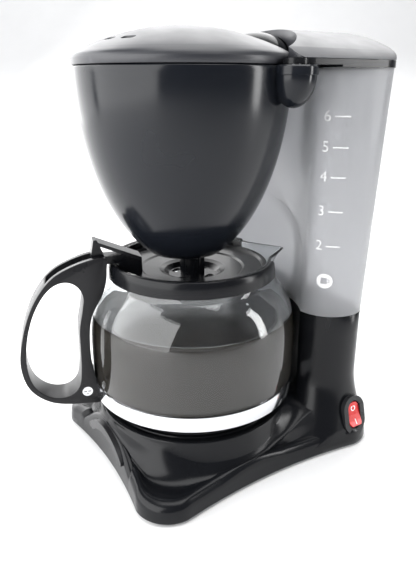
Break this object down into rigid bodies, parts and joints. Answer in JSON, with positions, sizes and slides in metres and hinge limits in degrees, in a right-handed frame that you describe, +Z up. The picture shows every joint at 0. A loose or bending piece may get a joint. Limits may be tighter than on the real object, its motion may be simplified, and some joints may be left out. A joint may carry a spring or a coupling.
{
  "type": "drip coffee maker",
  "caption": "Compact drip coffee maker: rear water tank under a hinged lid, swing-out brew funnel with drip stop, rocker switch and a glass jug on a round hot plate.",
  "frame": {"origin": "centre of the machine's bounding box, on the table", "axes": "+Z up; -Y towards the front, where the jug's handle and the trim bar are; +X towards the switch side"},
  "size_m": [0.14, 0.2012, 0.2465],
  "materials": {
    "gloss_black": "moulded gloss",
    "satin_black": "satin",
    "cover_plastic": "fine texture",
    "smoky_tank": "smoky clear plastic",
    "clear_glass": "clear",
    "polished_steel": "polished",
    "zinc_steel": "zinc plated",
    "plate_coating": "non-stick coating",
    "cast_alloy": "as cast",
    "rod_sheath": "dull sheath",
    "foot_rubber": "matte",
    "hose_silicone": "satin",
    "seal_silicone": "satin",
    "ceramic": "matte",
    "brass_terminal": "satin",
    "red_rocker": "moulded gloss",
    "white_print": "ink",
    "white_plastic": "satin",
    "filter_gauze": "fine mesh"
  },
  "bodies": {
    "machine": {"base_housing": "gloss_black", "pillar_housing": "gloss_black", "bottom_cover": "cover_plastic", "cover_screws": "zinc_steel", "rubber_feet": "foot_rubber", "front_trim": "satin_black", "hot_plate": "plate_coating", "heating_rod": "rod_sheath", "water_tube": "cast_alloy", "heater_clamp": "zinc_steel", "clamp_screw": "zinc_steel", "thermostat": "ceramic", "thermal_fuse": "ceramic", "inlet_hose": "hose_silicone", "outlet_hose": "hose_silicone", "hose_clips": "zinc_steel", "check_valve": "white_plastic", "mains_gland": "satin_black", "terminal_block": "ceramic", "switch_bezel": "satin_black", "switch_contacts": "brass_terminal", "water_tank": "smoky_tank", "level_marks": "white_print", "riser_seal": "foot_rubber", "riser_tube": "cast_alloy", "top_frame": "gloss_black", "lid_hinge_pins": "zinc_steel", "dome_cover": "satin_black", "dome_screws": "zinc_steel", "spray_head": "white_plastic", "funnel_hinge_pin": "zinc_steel"},
    "rocker": {"switch_rocker": "red_rocker"},
    "lid": {"tank_lid": "satin_black"},
    "funnel": {"brew_funnel": "gloss_black", "filter_basket": "satin_black", "filter_mesh": "filter_gauze", "drip_cage": "white_plastic", "drip_spring": "zinc_steel"},
    "drip_stop": {"drip_stem": "white_plastic", "drip_seal": "seal_silicone"},
    "jug": {"jug_glass": "clear_glass", "jug_collar": "satin_black", "jug_handle": "satin_black", "jug_strap": "polished_steel", "strap_screw": "polished_steel", "jug_lid_pin": "zinc_steel"},
    "jug_lid": {"jug_lid": "satin_black"}
  },
  "joints": [
    {"name": "tank_lid_hinge", "type": "hinge", "parent": "machine", "child": "lid", "pos_m": [0, 0.0967, 0.2326], "axis": [-1, 0, 0], "range_deg": [0, 95]},
    {"name": "funnel_swing", "type": "hinge", "parent": "machine", "child": "funnel", "pos_m": [0.0545, 0.0266, 0.22], "axis": [0, 0, 1], "range_deg": [0, 95]},
    {"name": "drip_stop_lift", "type": "slide", "parent": "funnel", "child": "drip_stop", "axis": [0, 0, 1], "range_m": [0, 0.002], "stiffness_N_per_m": 200, "springref_m": -0.003, "deforming": ["drip_spring"]},
    {"name": "jug_pull_out", "type": "slide", "parent": "machine", "child": "jug", "axis": [0, -1, 0], "range_m": [0, 0.16]},
    {"name": "jug_lid_lift", "type": "hinge", "parent": "jug", "child": "jug_lid", "pos_m": [-0.01475, -0.05396, 0.119], "axis": [-0.9659, 0.2588, 0], "range_deg": [0, 1]},
    {"name": "switch_rock", "type": "hinge", "parent": "machine", "child": "rocker", "pos_m": [0.06118, 0.0806, 0.0193], "axis": [0, 1, 0], "range_deg": [0, 10]}
  ]
}
